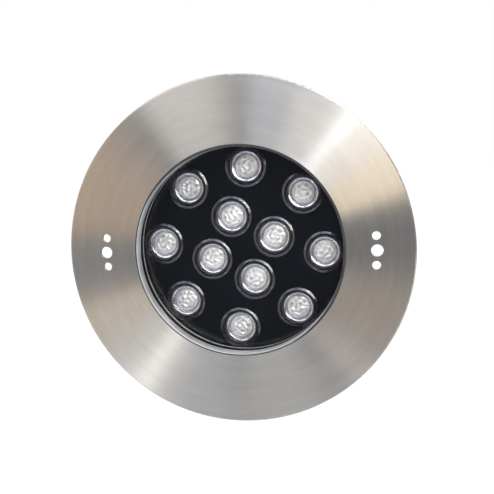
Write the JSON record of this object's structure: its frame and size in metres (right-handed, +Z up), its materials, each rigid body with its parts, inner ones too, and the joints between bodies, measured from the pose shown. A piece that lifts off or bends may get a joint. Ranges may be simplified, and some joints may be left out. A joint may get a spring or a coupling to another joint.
{
  "type": "recessed underwater light",
  "caption": "Round recessed underwater light: brushed steel faceplate with side fixing holes, deep glass window over lensed LEDs, flanged can and cable gland behind.",
  "frame": {"origin": "on the lamp's axis in the plane of the faceplate's back face, midway between the two fixing holes", "axes": "+X right, +Z up as the lamp is seen from the front, +Y along the lamp's axis into the wall, so the light shines towards -Y"},
  "size_m": [0.24, 0.1098, 0.24],
  "materials": {
    "brushed_plate": "turned and brushed stainless steel",
    "stud_steel": "drawn stainless stud",
    "nut_steel": "plain stainless nut",
    "black_silicone": "matt black silicone",
    "window_glass": "clear tempered glass",
    "ring_steel": "turned stainless steel",
    "can_steel": "drawn and pickled stainless steel",
    "deck_black": "glossy black",
    "board_white": "white solder mask on aluminium",
    "screw_steel": "plain stainless screw",
    "sink_aluminium": "milled aluminium",
    "standoff_brass": "nickel-free brass",
    "board_green": "green circuit board",
    "part_black": "moulded component bodies",
    "terminal_green": "moulded terminal block",
    "wire_red": "silicone wire jacket",
    "gland_metal": "nickel-plated brass",
    "claw_plastic": "natural nylon",
    "lens_clear": "clear moulded acrylic",
    "holder_dark": "dark moulded cup",
    "emitter_white": "moulded LED body with clear dome"
  },
  "bodies": {
    "lamp_body": {"faceplate": "brushed_plate", "weld_studs": "stud_steel", "flange_nuts": "nut_steel", "glass_gasket": "black_silicone", "window_glass": "window_glass", "glass_seat_ring": "ring_steel", "housing_can": "can_steel", "deck_cover": "deck_black", "led_board": "board_white", "board_screws": "screw_steel", "sink_screws": "screw_steel", "heat_sink": "sink_aluminium", "lower_standoffs": "standoff_brass", "upper_standoffs": "standoff_brass", "driver_board": "board_green", "driver_parts": "part_black", "terminal_block": "terminal_green", "lead_wires": "wire_red", "gland_body": "gland_metal", "gland_locknut": "gland_metal", "gland_o_ring": "black_silicone", "gland_seal": "black_silicone", "lens_01": "lens_clear", "lens_holder_01": "holder_dark", "led_emitter_01": "emitter_white", "lens_02": "lens_clear", "lens_holder_02": "holder_dark", "led_emitter_02": "emitter_white", "lens_03": "lens_clear", "lens_holder_03": "holder_dark", "led_emitter_03": "emitter_white", "lens_04": "lens_clear", "lens_holder_04": "holder_dark", "led_emitter_04": "emitter_white", "lens_05": "lens_clear", "lens_holder_05": "holder_dark", "led_emitter_05": "emitter_white", "lens_06": "lens_clear", "lens_holder_06": "holder_dark", "led_emitter_06": "emitter_white", "lens_07": "lens_clear", "lens_holder_07": "holder_dark", "led_emitter_07": "emitter_white", "lens_08": "lens_clear", "lens_holder_08": "holder_dark", "led_emitter_08": "emitter_white", "lens_09": "lens_clear", "lens_holder_09": "holder_dark", "led_emitter_09": "emitter_white", "lens_10": "lens_clear", "lens_holder_10": "holder_dark", "led_emitter_10": "emitter_white", "lens_11": "lens_clear", "lens_holder_11": "holder_dark", "led_emitter_11": "emitter_white", "lens_12": "lens_clear", "lens_holder_12": "holder_dark", "led_emitter_12": "emitter_white"},
    "clamping_claw": {"gland_claw": "claw_plastic"},
    "sealing_nut": {"gland_nut": "gland_metal"}
  },
  "joints": [
    {"name": "claw_travel", "type": "slide", "parent": "lamp_body", "child": "clamping_claw", "axis": [0, 1, 0], "range_m": [0, 0.0075]},
    {"name": "nut_turn", "type": "hinge", "parent": "clamping_claw", "child": "sealing_nut", "pos_m": [0, 0.098, 0], "axis": [0, 1, 0], "range_deg": [0, 1800]}
  ],
  "couplings": [
    {"joint": "nut_turn", "follows": "claw_travel", "rad_per_m": 4188.8}
  ]
}
